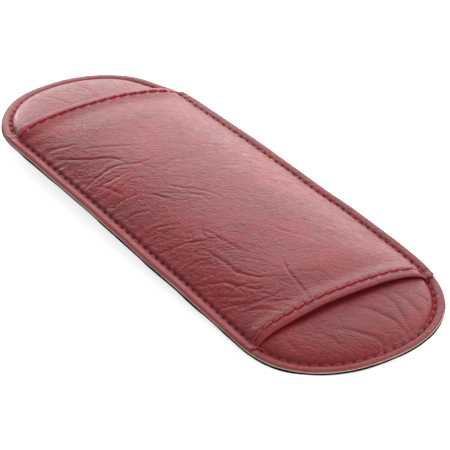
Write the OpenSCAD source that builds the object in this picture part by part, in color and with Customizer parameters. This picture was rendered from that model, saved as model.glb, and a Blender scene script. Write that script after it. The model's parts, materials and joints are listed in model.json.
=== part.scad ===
// Padded leather strap sleeve: a stadium-shaped padded base with rounded tongues, and a leather
// cover panel sewn along both long sides, so that a shoulder strap can pass between the two.
// Millimetres. Origin at the centre of the underside, +X along the strap, +Z up.

/* [Outline] */
// Length of the padded base from tip to tip
pad_length = 203; // [180:1:240]
// Width of the pad
pad_width = 72; // [60:1:84]
// Length of each rounded tongue beyond the straight sides
tongue_length = 37; // [30:1:44]
// Roundness of the tongues, where 2 is an ellipse
tongue_exponent = 2.25; // [2:0.05:2.6]
// Length of the cover panel from fold to fold
cover_length = 147; // [130:1:152]

/* [Layers] */
// Thickness of the non-slip backing
backing_t = 0.8; // [0.7:0.1:1.2]
// Thickness of the interlining sheet
interlining_t = 0.4; // [0.3:0.1:0.8]
// Thickness of both leathers
leather_t = 0.8; // [0.6:0.1:1.2]
// Height of the foam core at its crown
core_height = 4.2; // [3:0.1:6]
// Free height of the strap tunnel at the middle of each mouth
tunnel_height = 1.3; // [1.2:0.1:3]
// Extra rise of the cover at the middle of its length
cover_fullness = 0.7; // [0:0.1:2]
// Width of the hem that is turned under at each end of the cover
hem_width = 9; // [6:0.5:12]

/* [Stitching] */
// Distance of the perimeter stitches from the raw edge
seam_inset = 3; // [2.2:0.1:3.6]
// Pitch of the perimeter stitches
seam_pitch = 3.5; // [3.3:0.1:5]
// Distance of the hem stitches from the fold
hem_inset = 2.8; // [2.2:0.1:4]
// Pitch of the hem stitches
hem_pitch = 4.1; // [3.5:0.1:5]
// Diameter of the needle thread, which shows on top
needle_thread_d = 0.6; // [0.4:0.05:0.7]
// Diameter of the bobbin thread, which shows below
bobbin_thread_d = 0.4; // [0.3:0.05:0.5]

/* [Hidden] */

half_width = pad_width / 2;
straight_half = pad_length / 2 - tongue_length;
cover_half = cover_length / 2;

// Heights of the layers at the rim
interlining_z = backing_t;
base_z = interlining_z + interlining_t;
rim_z = base_z + leather_t;

// The layers are rings of one family: ring 1 is the raw edge and ring 0 is the spine of the pad.
seam_ring = 1 - seam_inset / half_width;
cover_foot_ring = seam_ring - 0.025;
core_foot_ring = cover_foot_ring - 0.02;
smallest_ring = 0.06;
arc_steps = 26;

// Where the dome's surface is sampled, as fractions of its foot ring
DOME_STEPS = [1, 0.985, 0.96, 0.925, 0.88, 0.82, 0.74, 0.64, 0.52, 0.38, 0.22, smallest_ring];

// Length over which the cover thickens into its doubled hem
hem_ramp = 2;
// Roundness of the fold, as a part of the hem's thickness
fold_round = 0.45;
// Spacing of the sections along the cover
cover_step = 12;

thread_sides = 8;
// How much thinner a thread is where it dives into its needle hole
hole_pinch = 0.62;
// Clearance that keeps a thread and the leather it lies on from overlapping
lie_gap = 0.02;
groove_w = bobbin_thread_d + 0.5;
groove_depth = bobbin_thread_d + 0.1;
path_steps = 40;

leather_colour = [0.56, 0.24, 0.26];
thread_colour = [0.66, 0.12, 0.17];

// ---- Shape rules ---------------------------------------------------------------------------

// Signed power, which draws a superellipse from a circle's sine and cosine
function spow(v, p) = sign(v) * pow(abs(v), p);

// A point on a tongue's end: ring k, at angle a from the tip, on the side of sx
function tongue_point(k, a, sx) =
    [sx * (straight_half + k * tongue_length * pow(cos(a), 2 / tongue_exponent)),
     k * half_width * spow(sin(a), 2 / tongue_exponent)];

// A whole ring, counter-clockwise from above
function ring(k, steps = arc_steps) = concat(
    [for (i = [0:steps]) tongue_point(k, -90 + 180 * i / steps, 1)],
    [for (i = [0:steps]) tongue_point(k, 90 - 180 * i / steps, -1)]);

// The ring that passes through a point
function ring_at(x, y) =
    let (along = max(0, abs(x) - straight_half) / tongue_length, across = abs(y) / half_width)
    pow(pow(along, tongue_exponent) + pow(across, tongue_exponent), 1 / tongue_exponent);

// Rise of a stuffed dome, from 0 at its foot to 1 at its crown
function puff(u) = u >= 1 ? 0 : pow(1 - pow(u, 2.4), 0.75);

// Smooth step from 0 to 1 while v goes from 0 to 1
function smooth(v) = let (c = min(1, max(0, v))) c * c * (3 - 2 * c);

// 1 on the doubled hem at either end of the cover, 0 on the single leather between them
function on_hem(x) = smooth((abs(x) - (cover_half - hem_width - hem_ramp)) / hem_ramp);

function cover_thickness(x) = leather_t * (1 + on_hem(x));

// Underside of the cover: it lies on the base's rim and bridges the strap tunnel
function cover_under(x, y) =
    let (u = min(1, ring_at(x, y) / cover_foot_ring),
         room = tunnel_height + cover_fullness * (1 - pow(x / cover_half, 2)))
    rim_z + core_height * puff(u) + room * (1 - u * u);

function cover_top(x, y) = cover_under(x, y) + cover_thickness(x);

// ---- Solids from rings, grids and paths ----------------------------------------------------

// A closed solid through a list of [ring, z], from its top centre out and back to its bottom centre
module ring_solid(profile) {
    n = 2 * (arc_steps + 1);
    last = len(profile) - 1;
    points = [for (p = profile) for (q = ring(p[0])) [q[0], q[1], p[1]]];
    sides = [for (j = [0:last - 1]) for (i = [0:n - 1])
        [j * n + i, j * n + (i + 1) % n, (j + 1) * n + (i + 1) % n, (j + 1) * n + i]];
    top = [reversed([for (i = [0:n - 1]) i])];
    bottom = [[for (i = [0:n - 1]) last * n + i]];
    polyhedron(points, concat(sides, top, bottom), convexity = 6);
}

// Faces that close a loop of n points starting at point a, where point i lies opposite point n - i
function end_cap(a, n) = concat(
    [[a, a + 1, a + n - 1]],
    [for (i = [1:n / 2 - 2]) [a + i, a + i + 1, a + n - i - 1, a + n - i]],
    [[a + n / 2 - 1, a + n / 2, a + n / 2 + 1]]);

function reversed(list) = [for (i = [len(list) - 1:-1:0]) list[i]];

// A solid through equal closed loops of points, one loop after the other
module loop_solid(loops, closed = false) {
    n = len(loops[0]);
    count = len(loops);
    points = [for (loop = loops) for (p = loop) p];
    sides = [for (j = [0:count - (closed ? 1 : 2)]) for (i = [0:n - 1])
        let (a = j * n, b = ((j + 1) % count) * n, k = (i + 1) % n)
        [a + i, a + k, b + k, b + i]];
    caps = closed ? [] : concat(
        [for (face = end_cap(0, n)) reversed(face)],
        end_cap((count - 1) * n, n));
    polyhedron(points, concat(sides, caps), convexity = 6);
}

function unit(v) = v / norm(v);

// One ring of a round tube at point p, heading along t
function tube_ring(p, t, r) =
    let (side = unit(cross(t, [0, 0, 1])), up = cross(side, t))
    [for (i = [0:thread_sides - 1])
        let (a = 360 * i / thread_sides)
        p + r * (cos(a) * side + sin(a) * up)];

// A thread along path, a list of [x, y, z of the face it lies on]. Every other point is a needle
// hole, where the thread is pinched. It lies above the face, or below it where side is -1.
module thread_along(path, d, closed, side = 1) {
    count = len(path);
    radii = [for (i = [0:count - 1]) d / 2 * (i % 2 == 0 ? hole_pinch : 1)];
    centres = [for (i = [0:count - 1]) path[i] + [0, 0, side * (radii[i] + lie_gap)]];
    loops = [for (i = [0:count - 1])
        let (before = closed ? (i + count - 1) % count : max(0, i - 1),
             after = closed ? (i + 1) % count : min(count - 1, i + 1))
        tube_ring(centres[i], unit(centres[after] - centres[before]), radii[i])];
    loop_solid(loops, closed);
}

// ---- Seam paths ----------------------------------------------------------------------------

// The perimeter seam as t goes from 0 to 4: right tongue, far side, left tongue, near side
function seam_xy(t) =
    t < 1 ? tongue_point(seam_ring, -90 + 180 * t, 1)
    : t < 2 ? [straight_half * (3 - 2 * t), seam_ring * half_width]
    : t < 3 ? tongue_point(seam_ring, 90 - 180 * (t - 2), -1)
    : [straight_half * (2 * t - 7), -seam_ring * half_width];

// Table of [length from the start, t], for placing stitches at an even pitch
SEAM_TABLE = [for (i = 0, run = 0; i <= 4 * path_steps;
    i = i + 1,
    run = run + norm(seam_xy(min(i / path_steps, 3.99999)) - seam_xy((i - 1) / path_steps)))
    [run, i / path_steps]];
seam_length = SEAM_TABLE[4 * path_steps][0];
seam_stitches = round(seam_length / seam_pitch);

function seam_point(i) = seam_xy(min(3.99999, lookup(seam_length * i / (2 * seam_stitches), SEAM_TABLE)));

// Top face under the perimeter stitches: cover, doubled hem, then down to the tongue's leather
function seam_face(x) =
    let (edge = cover_half + 0.3, fall = 2.4, past = (abs(x) - edge) / fall)
    rim_z + (past > 1 ? 0 : past > 0 ? 2 * leather_t * (1 - past) : cover_thickness(x));

hem_x = cover_half - hem_inset;
hem_needle_reach = seam_ring * half_width - 1.2;
// The bobbin thread is modelled as far as the tunnel has room for it
hem_bobbin_reach = 0.72 * half_width;

// Places across a hem at every half stitch, as distances from its middle
function hem_points(reach) =
    let (halves = 2 * round(reach / hem_pitch))
    [for (i = [-halves:halves]) reach * i / halves];

// ---- Sub-parts -----------------------------------------------------------------------------

// Non-slip backing, with a shallow groove that the bobbin thread sinks into
module backing_panel() {
    color([0.06, 0.06, 0.065])
    difference() {
        linear_extrude(backing_t) polygon(ring(1));
        translate([0, 0, -1]) linear_extrude(1 + groove_depth) difference() {
            polygon(ring(seam_ring + groove_w / pad_width));
            polygon(ring(seam_ring - groove_w / pad_width));
        }
    }
}

// Pale felt sheet between the backing and the leather, which shows as a thin line at the edge
module interlining_sheet() {
    color([0.82, 0.79, 0.74])
    translate([0, 0, interlining_z]) linear_extrude(interlining_t) polygon(ring(1));
}

// Domed foam, trimmed to lie inside the perimeter seam
module pad_core() {
    color([0.9, 0.87, 0.76])
    ring_solid(concat(
        [for (i = [len(DOME_STEPS) - 1:-1:0])
            [core_foot_ring * DOME_STEPS[i], base_z + core_height * puff(DOME_STEPS[i])]],
        [[core_foot_ring * smallest_ring, base_z]]));
}

// Leather of the base: flat at the rim, and moulded over the core, tongues included
module base_leather() {
    color(leather_colour)
    ring_solid(concat(
        [for (i = [len(DOME_STEPS) - 1:-1:0])
            [core_foot_ring * DOME_STEPS[i], rim_z + core_height * puff(DOME_STEPS[i])]],
        [[1, rim_z], [1, base_z]],
        [for (u = DOME_STEPS) [core_foot_ring * u, base_z + core_height * puff(u)]]));
}

// Cover panel: raw edges at both long sides, and a hem turned under at both ends
module cover_leather() {
    inner = [for (x = [-2 * cover_step:cover_step:2 * cover_step]) x];
    outer = [cover_half - hem_width - hem_ramp - cover_step, cover_half - hem_width - hem_ramp,
             cover_half - hem_width - hem_ramp / 2, cover_half - hem_width,
             cover_half - hem_width / 2, hem_x, cover_half - leather_t, cover_half - fold_round / 2];
    xs = concat(-reversed(outer), inner, outer);
    left_ys = [for (u = concat([1 / cover_foot_ring], DOME_STEPS)) -half_width * cover_foot_ring * u];
    ys = concat(left_ys, -reversed(left_ys));
    // The top and bottom faces close in towards the fold over the last station at each end
    rounding = [for (x = xs) abs(x) == max(xs) ? fold_round / 2 : 0];
    function at(x, y, v) = [x, y, cover_under(x, y) + v * cover_thickness(x)];
    loops = [for (y = ys) concat(
        [at(-cover_half, y, 0.5)],
        [for (i = [0:len(xs) - 1]) at(xs[i], y, 1 - rounding[i])],
        [at(cover_half, y, 0.5)],
        [for (i = [len(xs) - 1:-1:0]) at(xs[i], y, rounding[i])])];
    color(leather_colour) loop_solid(loops);
}

// Needle thread of the perimeter seam, on the cover along the sides and on the base's tongues
module perimeter_needle_thread() {
    path = [for (i = [0:2 * seam_stitches - 1]) let (p = seam_point(i)) [p[0], p[1], seam_face(p[0])]];
    color(thread_colour) thread_along(path, needle_thread_d, true);
}

// Bobbin thread of the perimeter seam, sunk in the backing's groove
module perimeter_bobbin_thread() {
    path = [for (i = [0:2 * seam_stitches - 1]) let (p = seam_point(i)) [p[0], p[1], groove_depth]];
    color(thread_colour) thread_along(path, bobbin_thread_d, true, -1);
}

// Needle thread of a hem, across the top of the cover; sx is 1 for the right hem
module hem_needle_thread(sx) {
    path = [for (y = hem_points(hem_needle_reach)) [sx * hem_x, y, cover_top(hem_x, y)]];
    color(thread_colour) thread_along(path, needle_thread_d, false);
}

// Bobbin thread of a hem, on the turned-under leather inside the tunnel
module hem_bobbin_thread(sx) {
    path = [for (y = hem_points(hem_bobbin_reach)) [sx * hem_x, y, cover_under(hem_x, y)]];
    color(thread_colour) thread_along(path, bobbin_thread_d, false, -1);
}

module left_hem_needle_thread() { hem_needle_thread(-1); }
module left_hem_bobbin_thread() { hem_bobbin_thread(-1); }
module right_hem_needle_thread() { hem_needle_thread(1); }
module right_hem_bobbin_thread() { hem_bobbin_thread(1); }

backing_panel();
interlining_sheet();
pad_core();
base_leather();
cover_leather();
perimeter_needle_thread();
perimeter_bobbin_thread();
left_hem_needle_thread();
left_hem_bobbin_thread();
right_hem_needle_thread();
right_hem_bobbin_thread();
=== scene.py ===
"""Looks of a padded leather strap sleeve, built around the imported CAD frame.

Shapes are worked out in millimetres, in the CAD's own axes, and turned into metres when a mesh is made.
"""

import json
import math

import bmesh
import bpy
import numpy as np
from mathutils import Matrix, Vector

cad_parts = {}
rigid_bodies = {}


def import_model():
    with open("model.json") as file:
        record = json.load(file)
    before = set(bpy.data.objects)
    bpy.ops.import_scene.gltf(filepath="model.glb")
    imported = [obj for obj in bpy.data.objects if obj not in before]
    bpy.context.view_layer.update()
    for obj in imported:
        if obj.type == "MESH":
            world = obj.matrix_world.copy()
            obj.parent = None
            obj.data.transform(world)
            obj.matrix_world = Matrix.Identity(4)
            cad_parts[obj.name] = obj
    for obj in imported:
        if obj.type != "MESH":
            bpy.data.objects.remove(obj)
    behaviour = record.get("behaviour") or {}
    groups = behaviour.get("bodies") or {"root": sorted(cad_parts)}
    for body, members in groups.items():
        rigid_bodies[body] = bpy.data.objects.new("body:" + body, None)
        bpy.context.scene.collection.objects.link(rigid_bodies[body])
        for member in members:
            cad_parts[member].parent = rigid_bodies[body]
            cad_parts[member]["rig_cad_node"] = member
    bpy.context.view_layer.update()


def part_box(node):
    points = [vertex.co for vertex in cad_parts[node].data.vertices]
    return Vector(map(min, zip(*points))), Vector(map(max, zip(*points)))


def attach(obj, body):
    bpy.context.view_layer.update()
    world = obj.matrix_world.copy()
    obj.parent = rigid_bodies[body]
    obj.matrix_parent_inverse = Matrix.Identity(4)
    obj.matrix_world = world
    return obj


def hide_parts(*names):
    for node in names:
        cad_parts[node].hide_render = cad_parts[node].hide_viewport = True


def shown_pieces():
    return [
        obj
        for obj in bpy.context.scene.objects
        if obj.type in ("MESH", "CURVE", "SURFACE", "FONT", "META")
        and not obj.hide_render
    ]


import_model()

MM = 0.001
SEED = 7

# ---- Sizes ----


def box_mm(node):
    """A CAD node's lowest and highest corners, in millimetres."""
    return [np.array(corner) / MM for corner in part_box(node)]


# From the frame
HALF_LENGTH = box_mm("base_leather")[1][0]
HALF_WIDTH = box_mm("base_leather")[1][1]
COVER_HALF = box_mm("cover_leather")[1][0]
BACKING_T = box_mm("backing_panel")[1][2]
FELT_TOP = box_mm("interlining_sheet")[1][2]
CORE_HEIGHT = box_mm("pad_core")[1][2] - FELT_TOP
LEATHER_T = box_mm("base_leather")[1][2] - box_mm("pad_core")[1][2]
RIM_TOP = FELT_TOP + LEATHER_T

# The outline: a straight middle, and a superellipse tongue at each end. A ring is the outline shrunk
# towards its spine, and its number is 1 at the raw edge and 0 on the spine.
TONGUE = 37.0
STRAIGHT_HALF = HALF_LENGTH - TONGUE
ROUNDNESS = 2.25
SEAM_INSET = 3.0
SEAM_PITCH = 3.5
SEAM_RING = 1 - SEAM_INSET / HALF_WIDTH
# Rings where the cover's and the core's domes meet the rim
COVER_FOOT = SEAM_RING - 0.006
CORE_FOOT = SEAM_RING - 0.016
# How round the domes' shoulders are: a lower number is a fuller dome
BASE_SHOULDER = 0.50
COVER_SHOULDER = 0.64
CORE_SHOULDER = 0.64
# Height of the strap tunnel, and what the middle of the cover stands above it
TUNNEL = 1.3
FULLNESS = 0.7
HEM_WIDTH = 9.0
HEM_SKIVE = 6.5
HEM_INSET = 2.8
HEM_PITCH = 4.1
# Beyond this distance a needle hole doesn't move the leather
HOLE_REACH = 2.4
FOLD_RADIUS = 0.56 * LEATHER_T

# How the soft pad lies: a low arch along its length, a slight twist that lifts two opposite corners,
# tongues that lean to the far side and are pinched at their far corners, and hems that aren't square
ARCH = 2.6
TWIST = 3.6
LEAN_LEFT = -0.069
LEAN_RIGHT = 0.108
PINCH_LEFT = 1.5
PINCH_RIGHT = 0.2
HEM_SKEW = {-1: 0.045, 1: 0.046}
# How far toward +X the near and far ends of each fold bend
HEM_BOW = {-1: (0.0, 1.0), 1: (1.5, 1.6)}

# ---- Curves and noise ----


def smooth(v):
    """0 below 0, 1 above 1, and a ramp with soft ends between."""
    v = np.clip(v, 0, 1)
    return v * v * (3 - 2 * v)


def bell(distance, width):
    """1 at no distance, falling to almost nothing at twice the width on either side."""
    return np.exp(-((distance / width) ** 2))


def fade(t):
    return t * t * t * (t * (6 * t - 15) + 10)


def noise(x, y, scale, seed):
    """Smooth value noise from -1 to 1, with features about scale mm across."""
    table = np.random.RandomState(seed).uniform(-1, 1, (256, 256))
    u, v = x / scale + 57.3, y / scale + 91.7
    i, j = np.floor(u).astype(int), np.floor(v).astype(int)
    a, b = fade(u - i), fade(v - j)
    i0, j0, i1, j1 = i % 256, j % 256, (i + 1) % 256, (j + 1) % 256
    low = table[i0, j0] * (1 - a) + table[i1, j0] * a
    high = table[i0, j1] * (1 - a) + table[i1, j1] * a
    return low * (1 - b) + high * b


def layers(x, y, scale, seed):
    """Three octaves of noise, each half the size and half the strength of the last."""
    return sum(noise(x, y, scale / 2**k, seed + k) / 2**k for k in range(3)) / 1.75


# ---- Shape rules, as in the CAD ----


def tongue_point(k, a, side):
    """Point of ring k on a tongue's end, at angle a in radians from its tip."""
    power = 2 / ROUNDNESS
    x = side * (STRAIGHT_HALF + k * TONGUE * np.abs(np.cos(a)) ** power)
    y = k * HALF_WIDTH * np.sign(np.sin(a)) * np.abs(np.sin(a)) ** power
    return x, y


def tongue_share(x):
    """0 on the straight middle, rising to 1 at a tongue's tip."""
    return np.clip((np.abs(x) - STRAIGHT_HALF) / TONGUE, 0, 1)


def ring_at(x, y):
    """1 on the raw edge of the pad and 0 on its spine."""
    along = np.maximum(0, np.abs(x) - STRAIGHT_HALF) / TONGUE
    across = np.abs(y) / HALF_WIDTH
    return (along**ROUNDNESS + across**ROUNDNESS) ** (1 / ROUNDNESS)


def from_seam(x, y):
    """About how far outside the perimeter seam a place is, in millimetres; negative inside it."""
    return (ring_at(x, y) - SEAM_RING) * HALF_WIDTH


def rim_share(ring):
    """0 inside the perimeter seam, rising to 1 at the raw edge."""
    return np.clip((ring - SEAM_RING) / (1 - SEAM_RING), 0, 1)


def puff(u, shoulder):
    """Rise of a stuffed dome, from 0 at its foot to 1 at its crown."""
    return (1 - np.minimum(u, 1) ** 2.5) ** shoulder


def cover_end(y, side):
    """Where the fold of the cover's hem runs: skewed, bowed at its ends and cut in at its corners."""
    wobble = 0.25 * noise(y, y * 0 + side * 20, 13, SEED + 3)
    near, far = HEM_BOW[side]
    bow = np.where(y < 0, near, far) * (np.abs(y) / HALF_WIDTH) ** 4
    corner = side * 0.7 * smooth((np.abs(y) - HALF_WIDTH + 1.6) / 1.6)
    return side * COVER_HALF + HEM_SKEW[side] * y + wobble + bow - corner


def from_fold(x, y):
    """How far inside the nearer fold of the cover's hems a place is; negative beyond it."""
    return np.minimum(cover_end(y, 1) - x, x - cover_end(y, -1))


def on_hem(x, y):
    """1 where the cover is doubled by its turned-under hem, 0 on the single leather."""
    return smooth((HEM_WIDTH - from_fold(x, y)) / HEM_SKIVE)


def pressed(x, y):
    """1 where the side seams squeeze the layers flat, 0 over the dome."""
    return smooth((ring_at(x, y) - 0.83) / 0.07)


def stuffed(x, y):
    """1 over the dome, 0 from the side seams out."""
    return 1 - smooth((ring_at(x, y) - 0.87) / 0.05)


def side_taper(x, far):
    """The cover's long edges are cut along the tongues' curve, as a part of the full half width.

    Its two far corners lie a little further in.
    """
    corner = 0.006 * smooth((np.abs(x) - STRAIGHT_HALF + 2) / 11)
    curve = (1 - 0.85 * tongue_share(x) ** ROUNDNESS) ** (1 / ROUNDNESS)
    return curve - np.where(far, corner, 0)


def lip(ring):
    """The rim's leather swells a little between the stitches and the raw edge."""
    swell = np.sin(math.pi * np.minimum(rim_share(ring) * 0.93 + 0.05, 1))
    return 0.12 * swell * (ring > SEAM_RING)


def base_top(x, y):
    """Face of the base's leather, over the core and the rim."""
    ring = ring_at(x, y)
    return RIM_TOP + CORE_HEIGHT * puff(ring / CORE_FOOT, BASE_SHOULDER) + lip(ring)


def cover_under(x, y):
    """Underside of the cover, over the rim and the strap tunnel."""
    u = np.minimum(1, ring_at(x, y) / COVER_FOOT)
    room = TUNNEL + FULLNESS * (1 - np.abs(x / COVER_HALF) ** 3)
    shoulder = COVER_SHOULDER - 0.08 * smooth(y / 20)
    return RIM_TOP + CORE_HEIGHT * puff(u, shoulder) + room * (1 - u * u)


def settle(points):
    """The shape that the soft pad takes as it lies on a table."""
    x, y, z = np.moveaxis(points, -1, 0)
    lean = tongue_share(x) * y * np.where(x < 0, LEAN_LEFT, LEAN_RIGHT)
    rise = ARCH * (1 - (x / HALF_LENGTH) ** 2) + TWIST * x * y / (HALF_LENGTH * HALF_WIDTH)
    ring = ring_at(x, y)
    wave = 0.36 * noise(x, y * 0.3, 19, SEED + 11) * smooth(ring * 4 - 3)
    out = rim_share(ring)
    flare = (0.34 + 0.16 * y / HALF_WIDTH) * out * (2 - out)
    far_side = smooth((y - 8) / 22)
    pinch = np.where(x < 0, PINCH_LEFT, PINCH_RIGHT) * bell(np.abs(x) - 80, 8) * far_side
    return np.stack([x + lean, y + wave - pinch, z + rise + flare], axis=-1)


# ---- Creases ----

CREASE_STRENGTH = 0.64

# Creases pressed into the cover, each (depth, width, points along it), in millimetres
COVER_CREASES = [
    (0.3, 0.55, [(-57, -31), (-54, -26), (-51, -22)]),
    (0.42, 0.55, [(-51, -31), (-46, -27), (-41, -23), (-35, -17), (-29, -15)]),
    (0.25, 0.6, [(-46, -20), (-42, -15), (-39, -11), (-36, -7)]),
    (0.42, 0.5, [(-29, -15), (-31, -20), (-31, -27), (-30, -33)]),
    (0.3, 0.55, [(-26, -6), (-26.5, -12), (-29, -16)]),
    (0.3, 0.5, [(-25, -18), (-26, -24), (-27, -29)]),
    (0.26, 0.45, [(-21, -18), (-20, -24)]),
    (0.3, 0.5, [(-27, -28), (-21, -26), (-16, -25)]),
    (0.26, 0.55, [(-20, 3), (-21, -3), (-20, -8)]),
    (0.22, 0.6, [(-22, 22), (-24, 16), (-27, 12)]),
    (0.3, 0.5, [(5, -4), (1, -7), (-4, -9.5)]),
    (0.28, 0.5, [(-1, -15), (-6.5, -17), (-12, -20)]),
    (0.24, 0.55, [(-5, 29), (-9, 25), (-12, 23)]),
    (0.2, 0.55, [(-1, 25), (-5, 19)]),
    (0.34, 0.5, [(-10, -12), (-5, -8.5), (0, -4.5), (7, -1)]),
    (0.26, 0.5, [(-8, -16), (-3, -11), (3, -6.5), (10, -6)]),
    (0.4, 0.55, [(26, -21.5), (35, -20), (43, -19.5), (50, -16), (53, -12)]),
    (0.3, 0.5, [(40, -25), (47, -23), (53, -20), (57, -16)]),
    (0.48, 0.5, [(47, -5), (51, -6.5), (55, -7.5), (62, -8), (71, -10)]),
    (0.2, 0.5, [(55, -6.5), (58, -2), (61, 1.5), (68, 2)]),
    (0.36, 0.55, [(60, -13), (59.5, -19), (57, -24.5), (52.5, -29), (50, -32)]),
    (0.34, 0.5, [(65.5, -13.5), (62.5, -18), (59, -22)]),
    (0.34, 0.5, [(69, -19.5), (65, -21), (61, -24), (57.5, -29)]),
    (0.36, 0.5, [(37, -32), (40, -28), (45, -24), (52, -23)]),
    (0.3, 0.5, [(43, -32), (48, -28), (53, -25)]),
    (0.28, 0.45, [(27.5, -32), (28, -28), (30, -24)]),
    (0.34, 0.5, [(15, -32), (18, -26), (22, -19.5), (25, -15)]),
    (0.26, 0.5, [(17.5, -16), (23, -15), (32, -13.5), (37, -12)]),
    (0.2, 0.55, [(12, 7), (17.5, 6), (23, 7)]),
    (0.28, 0.55, [(27, 0.5), (32, 3), (37, 5), (43, 9), (49, 10.5)]),
    (0.22, 0.6, [(37, 18), (43, 20.5), (49, 22)]),
    (0.22, 0.6, [(31, 13), (36, 16), (41, 18.5)]),
    (0.18, 0.7, [(35, 25), (43, 25.5), (53, 26.5), (63, 25.5)]),
    (0.26, 0.45, [(4, -30), (6, -25), (9, -21)]),
    (0.26, 0.45, [(-7, -31), (-6, -27), (-3, -23)]),
    (0.24, 0.45, [(-14, -31), (-15, -27), (-13, -22)]),
]

# Wider, softer ones moulded into the tongues
BASE_CREASES = [
    (0.3, 0.95, [(75, 15.5), (83, 18), (94, 18)]),
    (0.34, 0.95, [(75, 12.5), (82, 13.5), (88, 12.5), (98, 10.5)]),
    (0.38, 0.95, [(75, 1), (82, 5.5), (90, 8.5), (97, 9)]),
    (0.34, 0.95, [(82, -10), (88, -4.5), (93, -1), (98, 0.5)]),
    (0.26, 0.95, [(80, 22), (86, 24), (91, 22)]),
    (0.24, 0.95, [(79, -16), (85, -13), (92, -12)]),
    (0.22, 0.95, [(77, -24), (84, -24), (90, -20)]),
    (0.24, 0.9, [(-94, 4), (-86, 5), (-76, 3)]),
    (0.24, 0.9, [(-91, -11), (-85, -8), (-76, -6)]),
    (0.2, 0.9, [(-91, 17), (-83, 15.5), (-75, 16.5)]),
]


def curve_through(points, steps=8):
    """A smooth line through given points, as Catmull-Rom spans."""
    p = np.array(points, float)
    p = np.vstack([2 * p[0] - p[1], p, 2 * p[-1] - p[-2]])
    t = np.linspace(0, 1, steps, endpoint=False)[:, None]
    spans = []
    for a, b, c, d in zip(p, p[1:], p[2:], p[3:]):
        spans.append(
            0.5 * (2 * b + (c - a) * t + (2 * a - 5 * b + 4 * c - d) * t**2
                   + (3 * b - a - 3 * c + d) * t**3)
        )
    return np.vstack(spans + [p[-2:-1]])


def line_distance(x, y, line):
    """Distance to a line of points, and how far along it the nearest place is, from 0 to 1."""
    best = np.full(x.shape, 1e9)
    along = np.zeros(x.shape)
    count = len(line) - 1
    for i, (a, b) in enumerate(zip(line, line[1:])):
        d = b - a
        t = np.clip(((x - a[0]) * d[0] + (y - a[1]) * d[1]) / (d @ d), 0, 1)
        far = np.hypot(x - a[0] - t * d[0], y - a[1] - t * d[1])
        nearer = far < best
        best = np.where(nearer, far, best)
        along = np.where(nearer, (i + t) / count, along)
    return best, along


def crease_depth(x, y, creases):
    """Displacement of the leather along the listed creases: a sharp valley between soft lips."""
    wander = 0.45
    margin = 4
    xs = x + wander * layers(x, y, 3.5, SEED + 20)
    ys = y + wander * layers(x, y, 3.5, SEED + 30)
    total = np.zeros(x.shape)
    for depth, width, points in creases:
        line = curve_through(points)
        lo, hi = line.min(0) - margin, line.max(0) + margin
        near = (x > lo[0]) & (x < hi[0]) & (y > lo[1]) & (y < hi[1])
        far, along = line_distance(xs[near], ys[near], line)
        taper = np.sin(math.pi * np.clip(along * 0.94 + 0.03, 0, 1)) ** 0.6
        valley = -0.62 * bell(far, 0.62 * width) - 0.2 * bell(far, 1.9 * width)
        lips = 0.2 * bell(far - 2.3 * width, 1.5 * width)
        total[near] += CREASE_STRENGTH * depth * taper * (valley + lips)
    return total


def ridged(x, y, turn, along_size, across_size, width, seed):
    """Thin sinuous grooves, longer along the turned axis, where a stretched noise changes sign."""
    along = x * np.cos(turn) + y * np.sin(turn)
    across = -x * np.sin(turn) + y * np.cos(turn)
    field = noise(along / along_size, across / across_size, 1.0, seed)
    slope = np.hypot(*np.gradient(field)) / np.maximum(np.hypot(*np.gradient(across)), 1e-9)
    far = np.abs(field) / np.maximum(slope, 0.12 / across_size)
    return bell(far, width)


def wrinkles(x, y, strength):
    """Fine natural wrinkles, which fan from the near side seam and wander."""
    wx = x + 2.2 * layers(x, y, 9, SEED + 41) + 0.5 * noise(x, y, 2.6, SEED + 47)
    wy = y + 2.2 * layers(x, y, 9, SEED + 44) + 0.5 * noise(x, y, 2.6, SEED + 48)
    fan = 0.78 - 0.45 * smooth((x - 5) / 50) * smooth((y + 20) / 30)
    patch = smooth(0.55 + 1.0 * layers(x, y, 15, SEED + 60))
    other = smooth(0.35 + 1.0 * layers(x, y, 11, SEED + 62))
    total = 0.11 * patch * ridged(wx, wy, fan, 8.0, 1.7, 0.30, SEED + 50)
    total += 0.08 * other * ridged(wx, wy, fan + 0.42, 5.0, 1.4, 0.27, SEED + 53)
    total += 0.07 * patch * ridged(wx, wy, fan - 0.38, 4.0, 1.2, 0.25, SEED + 56)
    return -strength * total


def slack(x, y):
    """How loose the cover's leather is: most on the near side, least over the far left."""
    near_side = smooth((4 - y) / 30)
    right = smooth((x + 60) / 90)
    far_seam = 0.3 * smooth((y - 24) / 8)
    middle = 0.22 * right * smooth((22 - y) / 30)
    return 0.10 + 1.15 * near_side * (0.55 + 0.45 * right) + middle + far_seam


def buckles(x, y):
    """Broad soft unevenness of the stuffing."""
    return 0.20 * layers(x, y, 18, SEED + 70) + 0.06 * layers(x * 0.8, y, 7, SEED + 75)


# ---- Stitches ----


def even_points(line, pitch, closed):
    """Points along a line, at the whole number of equal steps that is nearest to the pitch."""
    path = np.vstack([line, line[:1]]) if closed else line
    run = np.concatenate([[0], np.cumsum(np.hypot(*np.diff(path, axis=0).T))])
    count = int(round(run[-1] / pitch))
    at = np.linspace(0, run[-1], count + 1)
    if closed:
        at = at[:-1]
    return np.stack([np.interp(at, run, path[:, i]) for i in (0, 1)], axis=1)


def seam_line(steps=120):
    """The perimeter seam, counter-clockwise from the near side."""
    a = np.linspace(-math.pi / 2, math.pi / 2, steps)
    right = np.stack(tongue_point(SEAM_RING, a, 1), axis=1)
    left = np.stack(tongue_point(SEAM_RING, a[::-1], -1), axis=1)
    return np.vstack([right, left])


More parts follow.
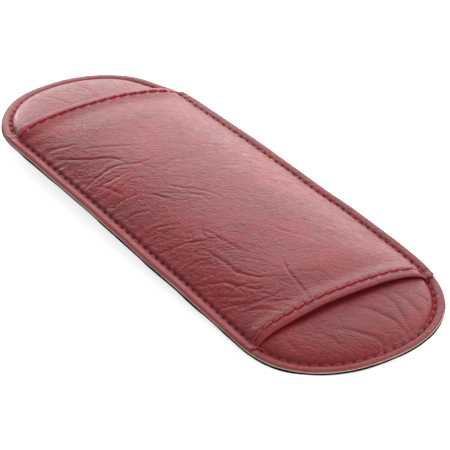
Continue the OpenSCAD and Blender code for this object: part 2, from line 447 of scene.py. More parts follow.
def hem_line(side):
    """The stitches' line across the cover, a little inside the hem's fold."""
    y = np.linspace(-1, 1, 60) * (HALF_WIDTH * SEAM_RING - 0.5)
    return np.stack([cover_end(y, side) - side * HEM_INSET, y], axis=1)


SEAM_HOLES = even_points(seam_line(), SEAM_PITCH, True)
HEM_HOLES = {side: even_points(hem_line(side), HEM_PITCH, False) for side in (-1, 1)}


def nearest(points, x, y, reach):
    """Distance from each place to the nearest of the points, or reach where all are further away."""
    out = np.full(x.shape, reach)
    for px, py in points:
        near = (np.abs(x - px) < reach) & (np.abs(y - py) < reach)
        out[near] = np.minimum(out[near], np.hypot(x[near] - px, y[near] - py))
    return out


def seam_pull(x, y, depth):
    """How far the perimeter stitches pull the leather down: a valley, and a pit at each hole."""
    valley = -depth * bell(from_seam(x, y), 0.75)
    pits = -0.55 * bell(nearest(SEAM_HOLES, x, y, HOLE_REACH), 0.46)
    return valley + pits


def hem_pull(x, y, side):
    """A hem's stitches sink in a soft valley between puckers."""
    away = np.abs(x - (cover_end(y, side) - side * HEM_INSET))
    holes = nearest(HEM_HOLES[side], x, y, HOLE_REACH)
    return -0.22 * bell(away, 0.8) - 0.4 * bell(holes, 0.45)


def seam_puckers(x, y):
    """Small tucks that run in from the side seams, about one to every stitch or two."""
    inward = np.maximum(0, -from_seam(x, y))
    phase = 2 * math.pi * (x / (1.45 * SEAM_PITCH) + 0.5 * noise(x, y, 8, SEED + 80)
                           + 0.05 * inward * np.sign(y))
    reach = np.exp(-inward / 2.8) * smooth(inward / 0.8)
    return 0.13 * np.sin(phase) * reach * (0.7 + 0.5 * noise(x, y * 0, 9, SEED + 81))


# ---- Meshes ----


def place_item(name, data):
    """A new object in the scene."""
    item = bpy.data.objects.new(name, data)
    bpy.context.scene.collection.objects.link(item)
    return item


def make_object(name, verts, faces, indices, materials):
    """A mesh piece that rides on the pad, from arrays of points in millimetres and of faces."""
    mesh = bpy.data.meshes.new(name)
    mesh.from_pydata((verts * MM).tolist(), [], [tuple(map(int, face)) for face in faces])
    for material in materials:
        mesh.materials.append(material)
    if indices is not None:
        mesh.polygons.foreach_set("material_index", indices.astype(np.int32))
    mesh.polygons.foreach_set("use_smooth", np.ones(len(faces), bool))
    mesh.update()
    mesh.validate()
    piece = place_item(name, mesh)
    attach(piece, "root")
    return piece


def grid_faces(rows, columns, closed_rows=False, start=0):
    """Quads over a grid of points, stored row by row."""
    i = np.arange(rows if closed_rows else rows - 1)
    j = np.arange(columns - 1)
    a = (i[:, None] * columns + j[None, :]).ravel()
    b = (((i[:, None] + 1) % rows) * columns + j[None, :]).ravel()
    return np.stack([a, b, b + 1, a + 1], axis=1) + start


def grid_normals(points):
    """Unit normals over a grid of points, up where the rows run along X and the columns along Y."""
    du = np.gradient(points, axis=0)
    dv = np.gradient(points, axis=1)
    n = np.cross(du, dv)
    return n / np.maximum(np.linalg.norm(n, axis=-1, keepdims=True), 1e-12)


def at_height(plan, z):
    """Points in space, from places on the plan and their heights."""
    return np.concatenate([plan, np.broadcast_to(z, plan.shape[:-1])[..., None]], axis=-1)


def shade_creases(piece, relief, wear_and_painted_light):
    """Tells the colour at each point of the leather: 0 where it lies deep, for painted shade, 0.5
    plain, and 1 where it is proud, for a painted highlight, or worn pale.

    The first half of the piece's points are its outer face, and the others its plain inner face.
    """
    # Below 0.5 the leather gets painted shade, above it painted highlights and real wear
    values = np.clip(0.5 + relief * 1.2 + wear_and_painted_light, 0, 1).ravel()
    layer = piece.data.attributes.new("painted_light_and_wear", "FLOAT", "POINT")
    both = np.concatenate([values, np.full(values.size, 0.5)])
    layer.data.foreach_set("value", both.astype(np.float32))


# ---- Stuffing by cloth simulation ----

PUFF_ROWS, PUFF_COLUMNS = 62, 30
PUFF_FRAMES = 30
PUFF_PRESSURE = 0.22
PUFF_LEAST, PUFF_MOST = -0.3, 2.4
PUFF_HEM = 20.0
# The leather is cut a little larger than its seams, so it is slack, and not quite evenly
PUFF_CUT = (1.06, 1.01, 1.01)
PUFF_UNEVEN = 0.08
# Centimetres in a millimetre
CENTIMETRES = 0.1


def puff_up(start):
    """How far each point of a grid of leather moves when the stuffing presses it up.

    The grid is sewn down along its four edges. It is worked out in centimetres, a size that suits
    the solver.
    """
    rows, columns = start.shape[:2]
    mesh = bpy.data.meshes.new("puff")
    mesh.from_pydata((start.reshape(-1, 3) * CENTIMETRES).tolist(), [],
                     grid_faces(rows, columns).tolist())
    cloth = place_item("puff", mesh)
    sewn = np.zeros((rows, columns), bool)
    sewn[[0, -1]] = True
    sewn[:, [0, -1]] = True
    pins = cloth.vertex_groups.new(name="sewn")
    pins.add([int(i) for i in np.flatnonzero(sewn)], 1.0, "REPLACE")
    cloth.shape_key_add(name="Basis")
    cut = cloth.shape_key_add(name="cut")
    loose = start * PUFF_CUT
    loose += np.random.RandomState(SEED).normal(0, PUFF_UNEVEN, start.shape)
    cut.data.foreach_set("co", (loose.reshape(-1, 3) * CENTIMETRES).ravel().astype(np.float32))
    solver = cloth.modifiers.new("cloth", "CLOTH")
    solver.point_cache.frame_end = PUFF_FRAMES
    rules = solver.settings
    rules.quality = 8
    rules.mass = 0.3
    rules.tension_stiffness = rules.compression_stiffness = 15
    rules.shear_stiffness = 8
    rules.bending_stiffness = 0.1
    rules.tension_damping = rules.compression_damping = rules.shear_damping = 10
    rules.vertex_group_mass = "sewn"
    rules.rest_shape_key = cut
    rules.use_pressure = True
    rules.uniform_pressure_force = PUFF_PRESSURE
    rules.effector_weights.gravity = 0
    solver.collision_settings.use_collision = False
    for moment in range(1, PUFF_FRAMES + 1):
        bpy.context.scene.frame_set(moment)
    solved = cloth.evaluated_get(bpy.context.evaluated_depsgraph_get()).to_mesh()
    out = np.empty(len(solved.vertices) * 3)
    solved.vertices.foreach_get("co", out)
    moved = out.reshape(rows, columns, 3) / CENTIMETRES - start
    bpy.context.scene.frame_set(1)
    bpy.data.objects.remove(cloth)
    return np.clip(moved, PUFF_LEAST, PUFF_MOST)


def between(grid, u, v):
    """A grid's values at places between its points, by Catmull-Rom spans both ways."""
    def weights(t):
        return (0.5 * (-t + 2 * t**2 - t**3), 0.5 * (2 - 5 * t**2 + 3 * t**3),
                0.5 * (t + 4 * t**2 - 3 * t**3), 0.5 * (t**3 - t**2))
    rows, columns = grid.shape[:2]
    u, v = np.clip(u, 0, rows - 1), np.clip(v, 0, columns - 1)
    i, j = np.minimum(u.astype(int), rows - 2), np.minimum(v.astype(int), columns - 2)
    total = np.zeros(u.shape + grid.shape[2:])
    for a, wa in enumerate(weights(u - i)):
        for b, wb in enumerate(weights(v - j)):
            corner = grid[np.clip(i + a - 1, 0, rows - 1), np.clip(j + b - 1, 0, columns - 1)]
            total += (wa * wb)[..., None] * corner
    return total


def cover_puff():
    """The cover's puffing, as a function of the place on its plan."""
    x = np.linspace(-1, 1, PUFF_ROWS)[:, None] * (COVER_HALF - HEM_INSET)
    y = np.linspace(-1, 1, PUFF_COLUMNS)[None, :] * HALF_WIDTH * SEAM_RING
    x, y = np.broadcast_arrays(x, y)
    grid = np.stack([x, y, cover_under(x, y)], axis=-1)
    moved = puff_up(grid)

    def at(px, py):
        inner = (px - cover_end(py, -1)) / (cover_end(py, 1) - cover_end(py, -1)) * 2 - 1
        u = (inner * COVER_HALF / (COVER_HALF - HEM_INSET) + 1) / 2 * (PUFF_ROWS - 1)
        v = (py / (HALF_WIDTH * SEAM_RING) + 1) / 2 * (PUFF_COLUMNS - 1)
        hem = smooth((1 - np.abs(inner)) * COVER_HALF / PUFF_HEM)
        return between(moved, u, v) * hem[..., None]

    return at


# ---- Materials ----


def srgb(r, g, b):
    """Linear colour of an 8-bit screen colour."""
    def one(c):
        c /= 255
        return c / 12.92 if c <= 0.04045 else ((c + 0.055) / 1.055) ** 2.4
    return (one(r), one(g), one(b), 1.0)


def grey(v):
    return (v, v, v, 1.0)


class Nodes:
    """A material's node tree, with short calls for what the materials below share."""

    def __init__(self, name, roughness, specular):
        self.material = bpy.data.materials.new(name)
        self.material.use_nodes = True
        self.tree = self.material.node_tree
        self.shader = self.tree.nodes["Principled BSDF"]
        self.shader.inputs["Roughness"].default_value = roughness
        self.shader.inputs["Specular IOR Level"].default_value = specular
        scale = self.add("VectorMath", "SCALE", Scale=1 / MM)
        self.feed(self.add("TexCoord").outputs["Object"], scale.inputs[0])
        self.mm = scale.outputs[0]

    def add(self, kind, operation=None, **values):
        """A new node, with plain values for some of its inputs."""
        n = self.tree.nodes.new("ShaderNode" + kind)
        if operation:
            n.operation = operation
        for name, value in values.items():
            n.inputs[name].default_value = value
        return n

    def feed(self, value, socket):
        """Sets a socket from a plain value or from another node's output."""
        if isinstance(value, bpy.types.NodeSocket):
            self.tree.links.new(value, socket)
        else:
            socket.default_value = value

    def noise_node(self, size, detail, rough, place):
        n = self.add("TexNoise", Scale=1 / size, Detail=detail, Roughness=rough)
        self.feed(place, n.inputs["Vector"])
        return n

    def noise(self, size, detail=3.0, rough=0.55):
        """Noise from 0 to 1, with features about size mm across."""
        return self.noise_node(size, detail, rough, self.mm).outputs["Fac"]

    def cells(self, size, feature="F1"):
        """Distance in irregular cells about size mm across, from their centres or their edges."""
        n = self.add("TexVoronoi", Scale=1 / size)
        n.feature = feature
        self.feed(self.mm, n.inputs["Vector"])
        return n.outputs["Distance"]

    def ramp(self, value, stops):
        """Colours or greys along a value: stops is a list of (place, colour)."""
        n = self.add("ValToRGB")
        ramp = n.color_ramp
        ramp.elements[0].position, ramp.elements[0].color = stops[0]
        ramp.elements[1].position, ramp.elements[1].color = stops[-1]
        for place, colour in stops[1:-1]:
            ramp.elements.new(place).color = colour
        self.feed(value, n.inputs["Fac"])
        return n.outputs["Color"]

    def mix(self, share, a, b):
        """Colour a with share of b laid over it."""
        n = self.add("Mix")
        n.data_type = "RGBA"
        self.feed(share, n.inputs["Factor"])
        self.feed(a, n.inputs[6])
        self.feed(b, n.inputs[7])
        return n.outputs[2]

    def math(self, operation, a, b):
        n = self.add("Math", operation)
        self.feed(a, n.inputs[0])
        self.feed(b, n.inputs[1])
        return n.outputs[0]

    def wrinkle_lines(self, size, turn):
        """1 on thin wandering lines about size mm apart, which run mostly along the angle turn."""
        drift = self.noise_node(9 * size, 2.0, 0.5, self.mm)
        shove = self.add("VectorMath", "MULTIPLY_ADD")
        shove.inputs[1].default_value = (8 * size,) * 3
        self.feed(drift.outputs["Color"], shove.inputs[0])
        self.feed(self.mm, shove.inputs[2])
        spin = self.add("Mapping")
        spin.vector_type = "TEXTURE"
        spin.inputs["Rotation"].default_value = (0, 0, turn)
        spin.inputs["Scale"].default_value = (3.6, 1.0, 1.0)
        self.feed(shove.outputs[0], spin.inputs["Vector"])
        field = self.noise_node(2 * size, 2.0, 0.5, spin.outputs[0])
        away = self.math("ABSOLUTE", self.math("SUBTRACT", field.outputs["Fac"], 0.5), 0.0)
        return self.ramp(away, [(0.0, grey(1.0)), (0.035, grey(0.25)), (0.08, grey(0.0))])

    def relief(self, rows):
        """Bumps laid over each other: each row is a pattern, its height in mm and its strength."""
        normal = None
        for pattern, millimetres, strength in rows:
            n = self.add("Bump", Strength=strength, Distance=millimetres * MM)
            self.feed(pattern, n.inputs["Height"])
            if normal is not None:
                self.feed(normal, n.inputs["Normal"])
            normal = n.outputs["Normal"]
        return normal

    def finish(self, colour, normal=None, roughness=None):
        """Joins the colour, relief and roughness to the shader, and returns the material."""
        wires = {"Base Color": colour, "Normal": normal, "Roughness": roughness}
        for name, value in wires.items():
            if value is not None:
                self.feed(value, self.shader.inputs[name])
        return self.material


def leather_material():
    """Soft burgundy leather: cloudy dye, painted shade in creases and wrinkle lines, painted highlights
    on ridges and folds, pale worn edges, fine wrinkles and grain.
    """
    n = Nodes("burgundy_leather", 0.42, 0.34)
    none, full = grey(0.0), grey(1.0)
    stored = n.add("Attribute")
    stored.attribute_name = "painted_light_and_wear"
    painted_light_and_wear = stored.outputs["Fac"]
    lines = n.wrinkle_lines(1.5, 0.78)
    cross = n.wrinkle_lines(1.1, 1.35)
    dye = n.ramp(n.noise(16, 4), [(0.34, srgb(133, 46, 50)), (0.5, srgb(140, 42, 47)),
                                  (0.66, srgb(150, 34, 45))])
    # Each tint: where it shows, how strongly, and its colour
    tints = [
        (n.ramp(n.noise(3.6, 5, 0.6), [(0.40, none), (0.66, full)]), 0.30, (128, 48, 50)),
        # Painted shade where the leather lies deep: creases, seam valleys, needle pits and under the
        # cover
        (n.ramp(painted_light_and_wear, [(0.0, full), (0.5, none)]), 0.75, (92, 16, 24)),
        # Painted highlight on proud ridges and folds, and the real paling of worn edges
        (n.ramp(painted_light_and_wear, [(0.5, none), (1.0, full)]), 0.4, (156, 66, 72)),
        # Painted shade in the thin wrinkle lines
        (lines, 0.30, (92, 14, 22)),
    ]
    for share, strength, colour in tints:
        dye = n.mix(n.math("MULTIPLY", share, strength), dye, srgb(*colour))
    normal = n.relief([
        (n.noise(0.42, 3, 0.6), 0.08, 0.55),
        (n.ramp(n.cells(0.75), [(0.0, none), (0.6, full)]), 0.08, 0.5),
        (n.ramp(n.cells(1.5, "DISTANCE_TO_EDGE"), [(0.0, none), (0.14, full)]), 0.06, 0.45),
        (n.math("SUBTRACT", 1.0, cross), 0.07, 0.34),
        (n.math("SUBTRACT", 1.0, lines), 0.09, 0.55),
    ])
    rough = n.ramp(n.noise(2.4, 4, 0.6), [(0.3, grey(0.26)), (0.7, grey(0.44))])
    return n.finish(dye, normal, rough)


def fibre_material(name, gloss, cloud, dark, light, naps, sheen=0.0, tint=(255, 255, 255)):
    """Clouds of two tints under naps, each (its noise, its height in mm, its strength).

    gloss is the roughness and specular level, and cloud the clouds' noise.
    """
    n = Nodes(name, *gloss)
    n.shader.inputs["Sheen Weight"].default_value = sheen
    n.shader.inputs["Sheen Tint"].default_value = srgb(*tint)
    colour = n.ramp(n.noise(*cloud), [(0.3, srgb(*dark)), (0.7, srgb(*light))])
    return n.finish(colour, n.relief([(n.noise(*nap), *size) for nap, *size in naps]))


def foam_material():
    """Cream foam of the core, with its open cells."""
    n = Nodes("cream_foam", 0.9, 0.2)
    colour = n.ramp(n.cells(0.9), [(0.1, srgb(170, 152, 112)), (0.6, srgb(226, 212, 176))])
    return n.finish(colour, n.relief([(n.cells(0.9), 0.3, 0.9)]))


def floor_material():
    """A white light table: it glows a little, which keeps shadows pale."""
    n = Nodes("pale_floor", 0.7, 0.3)
    n.shader.inputs["Emission Color"].default_value = grey(1.0)
    n.shader.inputs["Emission Strength"].default_value = FLOOR_GLOW
    return n.finish(n.ramp(n.noise(60, 3), [(0.3, grey(0.93)), (0.7, grey(0.94))]))


LEATHER = leather_material()
DYED_EDGE = fibre_material("dyed_leather_edge", (0.7, 0.3), (0.5, 4, 0.7), (128, 42, 48), (160, 66, 70),
                           [((0.3, 4), 0.12, 0.8)])
RAW_EDGE = fibre_material("cut_leather_edge", (0.7, 0.3), (0.5, 4, 0.7), (104, 48, 42), (150, 84, 74),
                          [((0.3, 4), 0.12, 0.8)])
FLESH = fibre_material("leather_flesh_side", (0.95, 0.2), (0.8, 5, 0.7), (120, 66, 62), (150, 92, 84),
                       [((0.25, 5, 0.7), 0.15, 0.9)], 0.3)
BACKING = fibre_material("black_backing", (0.95, 0.15), (0.7, 5, 0.7), (12, 12, 14), (30, 29, 31),
                         [((0.28, 5, 0.75), 0.16, 0.9), ((5, 3), 0.5, 0.4)], 0.05)
FELT = fibre_material("pale_felt", (0.95, 0.2), (0.5, 5, 0.7), (176, 164, 150), (214, 203, 190),
                      [((0.2, 5, 0.8), 0.15, 0.9)])
FOAM = foam_material()
THREAD = fibre_material("red_thread", (0.55, 0.4), (0.4, 4, 0.7), (142, 16, 34), (186, 38, 56),
                        [((0.12, 3, 0.6), 0.05, 0.8)], 0.35, (255, 150, 160))

# ---- Stadium-shaped layers ----


def ring_grid(rings, step, long_step):
    """Points [around, ring, xy] of the rings, counter-clockwise, about step mm apart at the edge.

    Along the straight sides they are about long_step mm apart.
    """
    dense = np.linspace(-math.pi / 2, math.pi / 2, 2000)
    edge_x, edge_y = tongue_point(1.0, dense, 1)
    run = np.concatenate([[0], np.cumsum(np.hypot(np.diff(edge_x), np.diff(edge_y)))])
    around_tip = max(24, int(math.pi * HALF_WIDTH / step))
    a = np.interp(np.linspace(0, run[-1], around_tip), run, dense)
    k = np.asarray(rings)[None, :]
    right = np.stack(tongue_point(k, a[:, None], 1), axis=-1)
    left = np.stack(tongue_point(k, a[::-1, None], -1), axis=-1)
    count = int(2 * STRAIGHT_HALF / long_step)
    t = np.linspace(0, 1, count + 1)[1:-1, None, None]
    far = right[-1] * (1 - t) + left[0] * t
    near = left[-1] * (1 - t) + right[0] * t
    return np.concatenate([right, far, left, near])


def closed_shell(name, tops, bottoms, materials, edge_rings, bottom_index):
    """A closed piece from a top and a bottom grid [around, ring, xyz] that run from the spine out."""
    around, rings = tops.shape[:2]
    count = around * rings
    top_faces = grid_faces(around, rings, True)
    bottom_faces = grid_faces(around, rings, True, count)[:, ::-1]
    i = np.arange(around)
    j = (i + 1) % around
    rim = np.stack([i * rings + rings - 1, j * rings + rings - 1,
                    j * rings + rings - 1 + count, i * rings + rings - 1 + count], axis=1)
    faces = np.concatenate([top_faces, bottom_faces, rim])
    column = np.tile(np.arange(rings - 1), around)
    edge = (column >= rings - 1 - edge_rings).astype(int)
    indices = np.concatenate([edge, np.where(edge, 1, bottom_index), np.ones(around, int)])
    verts = np.concatenate([tops.reshape(-1, 3), bottoms.reshape(-1, 3)])
    return make_object(name, verts, faces[:, ::-1], indices, materials)


def weld(piece):
    """Joins the points that meet along the spine."""
    bm = bmesh.new()
    bm.from_mesh(piece.data)
    bmesh.ops.remove_doubles(bm, verts=bm.verts, dist=1e-6)
    bmesh.ops.dissolve_degenerate(bm, edges=bm.edges, dist=1e-7)
    bmesh.ops.recalc_face_normals(bm, faces=bm.faces)
    bm.to_mesh(piece.data)
    bm.free()


# Rings from the spine out, closer together where the seam and the edge need it
FINE_RINGS = np.concatenate([[0, 0.012], np.linspace(0.024, 0.86, 76),
                             np.linspace(0.868, 0.99, 20)])
# The last ones, each with how far the leather's cut edge rounds down there, in millimetres
EDGE_RINGS = [(0.9955, -0.05), (1.0, -0.22)]


def outline_noise(xy, seed, size=0.16):
    """Shifts places near the edge in or out: layers are cut by hand, so they aren't quite flush."""
    x, y = xy[..., 0], xy[..., 1]
    shift = size * layers(x, y, 11, seed) * smooth((ring_at(x, y) - 0.9) / 0.1)
    past_middle = np.where(np.abs(x) > STRAIGHT_HALF, x - np.sign(x) * STRAIGHT_HALF, 0)
    outward = np.stack([past_middle, y], -1)
    outward = outward / np.maximum(np.linalg.norm(outward, axis=-1, keepdims=True), 1e-6)
    return xy + outward * shift[..., None]


def flat_layer(name, low, high, material, seed, trim, uneven=0.16):
    """A plain sheet of the stadium's outline, with softly rounded edges."""
    rings = np.array([0, 0.1, 0.3, 0.5, 0.7, 0.84, 0.92, 0.96, 0.985, 0.996, 1.0]) * trim
    soft = np.array([0] * 9 + [0.06, 0.18]) * (high - low)
    xy = outline_noise(ring_grid(rings, 1.2, 2.5), seed, uneven)
    piece = closed_shell(name, settle(at_height(xy, high - soft)), settle(at_height(xy, low + soft)),
                         [material] * 2, 0, 0)
    weld(piece)
    return piece


def base_leather():
    """The base's leather, moulded over the core, with creased tongues and stitched rim."""
    rings = np.concatenate([FINE_RINGS, [ring for ring, _ in EDGE_RINGS]])
    drop = np.concatenate([np.zeros(len(FINE_RINGS)), [down for _, down in EDGE_RINGS]])
    xy = ring_grid(rings, 0.45, 2.0)
    x, y = xy[..., 0], xy[..., 1]
    ring = ring_at(x, y)
    z = base_top(x, y) + drop[None, :]
    tongue = smooth((np.abs(x) - COVER_HALF + 6) / 4)
    fine = crease_depth(x, y, BASE_CREASES) + wrinkles(x, y, 0.75) + 0.6 * buckles(x, y)
    fine = fine * (1 - smooth((ring - 0.86) / 0.06))
    pull = seam_pull(x, y, 0.28)
    top = at_height(outline_noise(xy, SEED + 90), z + tongue * (fine + pull))
    under = np.maximum(FELT_TOP, z - LEATHER_T - lip(ring)) - drop[None, :] * 0.5
    piece = closed_shell("base_leather_skin", settle(top), settle(at_height(top[..., :2], under)),
                         [LEATHER, RAW_EDGE, FLESH], len(EDGE_RINGS), 2)
    # The raw edge is worn pale, and painted shade darkens the leather where it goes in under the cover
    worn = 0.22 * smooth((ring - 1 + 0.9 / HALF_WIDTH) * HALF_WIDTH / 0.6)
    depth, reach = np.where(x > 0, 0.42, 0.38), np.where(x > 0, 1.1, 5.0)
    painted_tuck_shade = depth * bell(from_fold(x, y), reach) * (ring < SEAM_RING)
    # Creases, seam valleys and needle pits get painted shade by their depth
    shade_creases(piece, tongue * (fine + 0.6 * pull), worn - painted_tuck_shade)
    weld(piece)
    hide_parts("base_leather")
    return piece


# ---- Cover ----


def hem_thickness(x, y):
    """The turned-under leather, skived to nothing at its inner end and squeezed at the side seams."""
    return LEATHER_T * (0.95 - 0.5 * pressed(x, y)) * on_hem(x, y) + 0.05


def top_row(ys, share):
    """A row across the cover's top, at a share of the way from the left fold to the right one."""
    x = (cover_end(ys, -1) + FOLD_RADIUS) * (1 - share) + (cover_end(ys, 1) - FOLD_RADIUS) * share
    y = ys * side_taper(x, ys > 0)
    z = cover_under(x, y) + LEATHER_T * (0.5 + (1.05 - 0.75 * pressed(x, y)) * on_hem(x, y))
    return np.stack([x, y, z], -1), 1.0, 0


def fold_row(ys, side, angle):
    """A row at an angle round a fold, from 0 on top to half a turn below."""
    centre = cover_end(ys, side) - side * FOLD_RADIUS
    y = ys * side_taper(centre, ys > 0)
    low = cover_under(centre, y) + hem_thickness(centre, y) / 2
    high = cover_under(centre, y) + LEATHER_T * (1.55 - 0.75 * pressed(centre, y))
    x = centre + side * FOLD_RADIUS * math.sin(angle)
    z = (low + high) / 2 + (high - low) / 2 * math.cos(angle)
    return np.stack([x, y, z], -1), float(angle < 1.2), 0


def turned_row(ys, side, station):
    """A row of the leather that a hem turns under."""
    x = cover_end(ys, side) - side * (COVER_HALF - station)
    y = ys * side_taper(x, ys > 0)
    z = cover_under(x, y) + hem_thickness(x, y) / 2
    return np.stack([x, y, z], -1), 0.0, 1


def cover_rows(ys):
    """The cover's middle surface, row by row from one hem's inner end to the other's.

    With its points come two columns: 1 for the rows on top, and 1 for the rows turned under.
    """
    flat = COVER_HALF - FOLD_RADIUS
    shares = (np.linspace(-flat, flat, int(2 * flat / 0.38)) + flat) / (2 * flat)
    angles = np.radians([22, 45, 68, 90, 112, 135, 158])
    stations = np.linspace(flat, COVER_HALF - HEM_WIDTH, 16)
    rows = [turned_row(ys, -1, station) for station in stations[::-1]]
    rows += [fold_row(ys, -1, angle) for angle in angles[::-1]]
    rows += [top_row(ys, share) for share in shares]
    rows += [fold_row(ys, 1, angle) for angle in angles]
    rows += [turned_row(ys, 1, station) for station in stations]
    points, on_top, turned = (np.array(part) for part in zip(*rows))
    return points, on_top[:, None], turned[:, None]


def panel_faces(rows, columns):
    """Faces of a closed panel, its outer grid before its inner one, and each face's material."""
    count = rows * columns
    outer = grid_faces(rows, columns)
    inner = grid_faces(rows, columns, start=count)[:, ::-1]
    i = np.arange(rows - 1)
    j = np.arange(columns - 1)
    a, b = i * columns, (i + 1) * columns
    near = np.stack([a, a + count, b + count, b], 1)
    far = near[:, ::-1] + columns - 1
    left = np.stack([j, j + 1, j + 1 + count, j + count], 1)
    right = left[:, ::-1] + (rows - 1) * columns
    column = np.tile(j, rows - 1)
    rim = (column < 2) | (column > columns - 4)
    edges = np.ones(2 * len(i) + 2 * len(j), int)
    return (np.concatenate([outer, inner, near, far, left, right]),
            np.concatenate([rim.astype(int), np.full(len(inner), 2), edges]))


def cover_leather():
    """The cover panel: one leather with a turned-under hem at each end and raw long edges."""
    half = np.concatenate([np.linspace(0.2, 29.2, 76), np.linspace(29.5, HALF_WIDTH - 0.35, 24),
                           [HALF_WIDTH - 0.12, HALF_WIDTH]])
    ys = np.concatenate([-half[::-1], half])
    drop = 0.16 * smooth((np.abs(ys) - HALF_WIDTH + 0.3) / 0.3)
    mid, on_top, turned = cover_rows(ys)
    x, y = mid[..., 0].copy(), mid[..., 1].copy()
    calm = 0.70 + 0.45 * smooth((2 - y) / 16)
    fine = crease_depth(x, y, COVER_CREASES) * calm + wrinkles(x, y, 1.0) * slack(x, y)
    fine = fine * stuffed(x, y) * smooth((from_fold(x, y) - 1.5) / 3.0)
    fine = (fine + seam_puckers(x, y)) * on_top
    pull = (seam_pull(x, y, 0.30) + hem_pull(x, y, -1) + hem_pull(x, y, 1)) * on_top
    mid += cover_puff()(x, y) * on_top[..., None]
    mid[..., 2] += buckles(x, y) * stuffed(x, y) * on_top
    normals = grid_normals(mid)
    single = LEATHER_T * (1 - 0.5 * pressed(x, y) * on_hem(x, y))
    half_thick = np.where(turned == 1, hem_thickness(x, y), single) / 2
    outer = mid + normals * (half_thick + fine + pull - drop)[..., None]
    inner = mid - normals * (half_thick - drop)[..., None]
    verts = np.concatenate([outer.reshape(-1, 3), inner.reshape(-1, 3)])
    piece = make_object("cover_leather_skin", settle(verts), *panel_faces(*x.shape),
                        [LEATHER, DYED_EDGE, FLESH])
    # The folds get a painted highlight along with their wear, and the raw edges are worn pale
    worn = 0.42 * bell(from_fold(x, y) - 0.8, 0.7)
    worn = worn + 0.22 * smooth((0.9 - HALF_WIDTH + np.abs(ys)) / 0.6)
    # Creases, seam valleys and needle pits get painted shade by their depth, and proud places a painted
    # highlight
    shade_creases(piece, fine + 0.6 * pull, worn)
    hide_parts("cover_leather")
    return piece


# ---- Threads ----

# Each thread's radius, how far its stitches lie aslant, and how round they rise: 1 is a half wave and
# a lower number is squarer
PERIMETER_NEEDLE = (0.30, 0.12, 0.62)
PERIMETER_BOBBIN = (0.20, 0.05, 0.40)
HEM_NEEDLE = {-1: (0.44, 0.30, 0.22), 1: (0.34, 0.30, 0.22)}
HEM_BOBBIN = (0.20, 0.10, 0.40)
PLIES, PLY_TURNS = 2, 2.4


def stitch(start, end, up, radius, slant, hump):
    """Points [along, round, xyz] of one stitch: a twisted thread that rises from one needle hole,
    lies on the leather and dives into the next."""
    t = np.linspace(0, 1, 15)
    along = end - start
    length = np.linalg.norm(along)
    along = along / length
    side = np.cross(up, along)
    side /= np.linalg.norm(side)
    up = np.cross(along, side)
    rise = np.sin(math.pi * t) ** hump
    height = -2.2 * radius + rise * 3.0 * radius
    sway = slant * (t - 0.5) * 2
    centre = start + along * (t * length)[:, None] + up * height[:, None] + side * sway[:, None]
    a = np.linspace(0, 2 * math.pi, 12, endpoint=False)
    swell = radius * (0.72 + 0.28 * rise)
    r = swell[:, None] * (1 + 0.14 * np.cos(PLIES * a - 2 * math.pi * PLY_TURNS * t[:, None]))
    round_it = np.cos(a)[:, None] * side + np.sin(a)[:, None] * up
    return centre[:, None, :] + r[..., None] * round_it


def thread_piece(name, spans, style, node, flip=1):
    """A row of stitches as one piece: spans is a list of (start, end) on the leather's face."""
    up = np.array([0, 0, float(flip)])
    tubes = np.array([stitch(start, end, up, *style) for start, end in spans])
    steps, sides = tubes.shape[1:3]
    i = np.arange(steps - 1)[:, None] * sides
    j = np.arange(sides)
    k = (j + 1) % sides
    tube = np.stack([i + j, i + k, i + sides + k, i + sides + j], -1).reshape(-1, 4).tolist()
    tube += [j[::-1], j + (steps - 1) * sides]
    faces = [np.array(face) + n * steps * sides for n in range(len(spans)) for face in tube]
    piece = make_object(name, settle(tubes.reshape(-1, 3)), faces, None, [THREAD])
    weld(piece)
    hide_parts(node)


def top_face(x, y):
    """Height that the perimeter stitches lie at, which is on the cover where it lies on top."""
    cover = RIM_TOP + LEATHER_T * (1 + 0.1 * on_hem(x, y)) - 0.26 * (y < 0)
    return np.where(from_fold(x, y) > 0, cover, RIM_TOP) - 0.42


def spans_between(holes, heights, closed):
    """The pairs of neighbouring holes, as points in space."""
    points = at_height(holes, heights)
    pairs = list(zip(points, np.roll(points, -1, axis=0)))
    return pairs if closed else pairs[:-1]


def back_tacks(spans):
    """Two stitches sewn over the first ones at each corner of the cover, where the seam is locked."""
    starts = np.array([start[:2] for start, _ in spans])
    tacks = []
    for side in (-1, 1):
        for edge in (-1, 1):
            fold = cover_end(np.array(edge * 34.0), side)
            corner = (fold - side * 1.2, edge * HALF_WIDTH * SEAM_RING)
            first = int(np.argmin(np.hypot(*(starts - corner).T)))
            for k in (0, -1):
                start, end = spans[(first + k) % len(spans)]
                shove = (end - start) * 0.42 + np.array([0, -edge * 0.45, 0.22])
                tacks.append((start + shove, end + shove))
    return tacks


def perimeter_threads():
    """The seam round the whole edge, above and below."""
    holes = SEAM_HOLES
    top = spans_between(holes, top_face(*holes.T), True)
    top += back_tacks(top)
    thread_piece("perimeter_stitches", top, PERIMETER_NEEDLE, "perimeter_needle_thread")
    below = spans_between(holes, 0.22, True)
    thread_piece("perimeter_bobbin_stitches", below, PERIMETER_BOBBIN, "perimeter_bobbin_thread", -1)


def hem_threads(side, word):
    """The stitches across one hem, and their threads in the tunnel, clear of the side seams."""
    holes = HEM_HOLES[side]
    x, y = holes.T
    top = cover_under(x, y) + (2.05 - pressed(x, y)) * LEATHER_T - 0.12 + buckles(x, y) * 0.6
    thread_piece(f"{word}_hem_stitches", spans_between(holes, top, False), HEM_NEEDLE[side],
                 f"{word}_hem_needle_thread")
    inner = holes[np.abs(y) < 0.74 * HALF_WIDTH]
    under = cover_under(*inner.T) + 0.05
    thread_piece(f"{word}_hem_bobbin_stitches", spans_between(inner, under, False), HEM_BOBBIN,
                 f"{word}_hem_bobbin_thread", -1)


# ---- Core ----


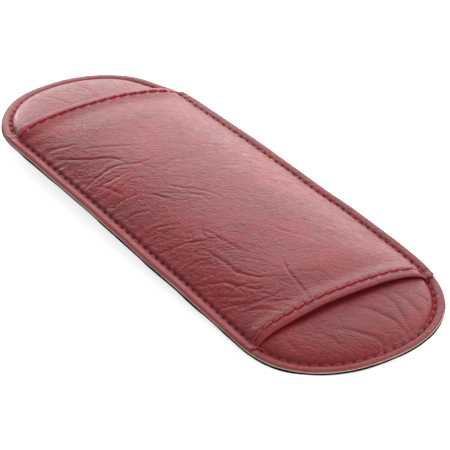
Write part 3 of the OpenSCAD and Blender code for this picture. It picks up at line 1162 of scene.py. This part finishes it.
def foam_core():
    """The domed foam inside, which shows only when the pad is opened."""
    foot = CORE_FOOT - 0.01
    rings = np.concatenate([[0, 0.05], np.linspace(0.1, 0.995, 26), [1.0]]) * foot
    xy = ring_grid(rings, 1.5, 3.0)
    dome = puff(ring_at(xy[..., 0], xy[..., 1]) / foot, CORE_SHOULDER)
    high = FELT_TOP + 0.06 + (CORE_HEIGHT - 0.2) * dome * 0.98
    piece = closed_shell("foam_core", settle(at_height(xy, high)),
                         settle(at_height(xy, FELT_TOP + 0.04)), [FOAM] * 2, 0, 0)
    weld(piece)
    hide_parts("pad_core")
    return piece


# ---- Assembly ----

cover = cover_leather()
base = base_leather()
backing = flat_layer("backing_sheet", 0.0, BACKING_T, BACKING, SEED + 91, 1.001, 0.32)
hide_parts("backing_panel")
felt = flat_layer("interlining_felt", BACKING_T, FELT_TOP, FELT, SEED + 92, 0.997)
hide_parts("interlining_sheet")
core = foam_core()
perimeter_threads()
hem_threads(-1, "left")
hem_threads(1, "right")


# The pad touches the table at its lowest rim
shown = [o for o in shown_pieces() if "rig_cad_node" not in o]
lowest = min(min(v.co.z for v in o.data.vertices) for o in shown)
for o in shown:
    o.data.transform(Matrix.Translation((0, 0, -lowest)))

# ---- Stage ----

# Each softbox: name, place and target in metres, size in metres, and power in watts
LIGHTS = [
    ("key_softbox", (-0.66, 0.92, 1.12), (0, 0, 0), (2.0, 1.5), 20.5),
    ("back_strip", (-1.30, 0.60, 0.34), (0, 0, 0.02), (2.4, 0.62), 6),
    ("tip_kicker", (-1.32, 0.27, 0.30), (-0.09, -0.01, 0), (0.32, 0.15), 3.6),
    ("far_edge_strip", (-0.88, 0.96, 0.17), (0, 0, 0), (1.1, 0.2), 1.8),
    ("side_fill", (0.95, 0.85, 0.80), (0.06, 0, 0), (0.9, 0.9), 11),
]
WORLD_LIGHT = 0.45
FLOOR_GLOW = 0.72
FLOOR_REACH = 3.0


def camera():
    """A long lens from the near right, above the pad."""
    azimuth, elevation = math.radians(55.39), math.radians(33.37)
    distance, focal_share = 1.304, 8.597
    aim_right, aim_up = 0.00402, -0.0025
    back = Vector((math.sin(azimuth) * math.cos(elevation),
                   -math.cos(azimuth) * math.cos(elevation), math.sin(elevation)))
    right = Vector((0, 0, 1)).cross(back).normalized()
    up = back.cross(right)
    data = bpy.data.cameras.new("camera")
    data.sensor_width = 36
    data.lens = focal_share * data.sensor_width
    item = place_item("camera", data)
    # The aim is kept on the pad, which was lowered onto the table
    item.location = (right * aim_right + up * aim_up + back * distance
                     + Vector((0, 0, -lowest)))
    item.rotation_euler = Matrix((right, up, back)).transposed().to_euler()
    bpy.context.scene.camera = item


def area_light(name, place, target, size, power):
    data = bpy.data.lights.new(name, "AREA")
    data.shape = "RECTANGLE"
    data.size, data.size_y = size
    data.energy = power
    item = place_item(name, data)
    item.location = place
    item.rotation_euler = (Vector(place) - Vector(target)).to_track_quat("Z", "Y").to_euler()


def stage():
    """The floor, the lights and the sky."""
    mesh = bpy.data.meshes.new("floor")
    corners = [(-1, -1), (1, -1), (1, 1), (-1, 1)]
    mesh.from_pydata([(x * FLOOR_REACH, y * FLOOR_REACH, 0) for x, y in corners], [], [(0, 1, 2, 3)])
    mesh.materials.append(floor_material())
    floor = place_item("floor", mesh)
    for light in LIGHTS:
        area_light(*light)
    world = bpy.data.worlds.new("studio")
    world.use_nodes = True
    world.node_tree.nodes["Background"].inputs["Color"].default_value = (1, 1, 1, 1)
    world.node_tree.nodes["Background"].inputs["Strength"].default_value = WORLD_LIGHT
    bpy.context.scene.world = world
    bpy.context.scene.view_settings.view_transform = "Standard"


camera()
stage()
